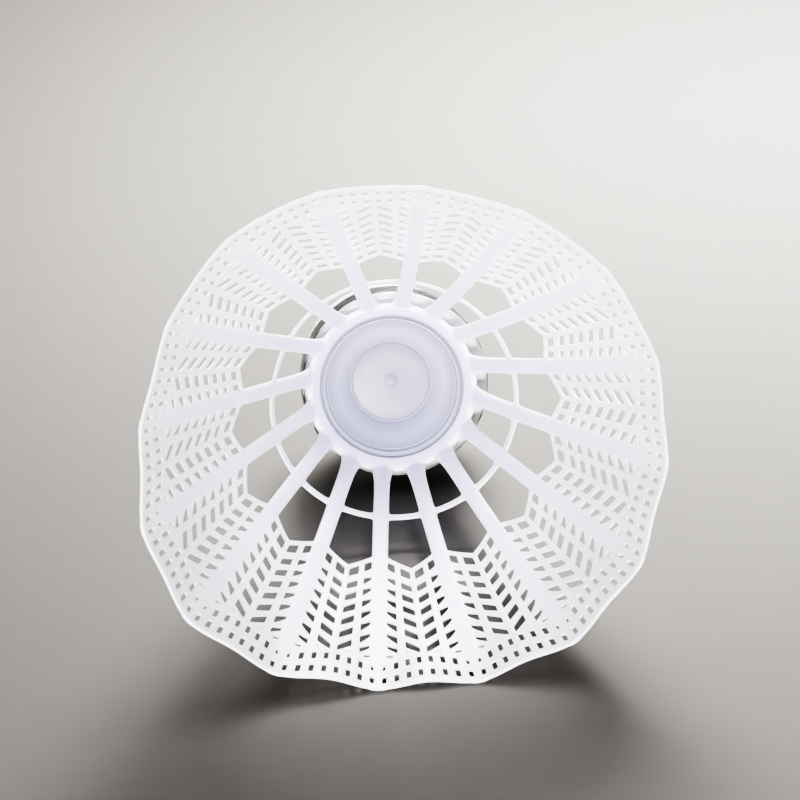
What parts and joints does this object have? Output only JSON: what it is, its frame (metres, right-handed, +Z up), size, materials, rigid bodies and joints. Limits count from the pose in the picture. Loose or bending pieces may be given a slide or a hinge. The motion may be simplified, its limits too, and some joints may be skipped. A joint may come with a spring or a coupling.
{
  "type": "badminton shuttlecock",
  "caption": "Badminton shuttlecock with a flared open-lattice moulded nylon skirt on ribbed stems, a hollow collar plug and a round leather-covered cork head with a foil band.",
  "frame": {"origin": "on the surface that the shuttlecock lies on, under the middle of its bounding box", "axes": "+Z up from that surface, -Y towards the open mouth of the skirt, +Y towards the head, X across the mouth"},
  "size_m": [0.0668, 0.0936, 0.062],
  "materials": {
    "nylon": "white moulded nylon with a soft satin sheen, slightly translucent",
    "cork": "turned agglomerated cork, matt",
    "leather": "white PU-coated leather, fine grain, satin",
    "foil": "silver metallised film, glossy"
  },
  "bodies": {
    "root": {"skirt": "nylon", "cork_core": "cork", "leather_cover": "leather", "foil_band": "foil"}
  },
  "joints": []
}
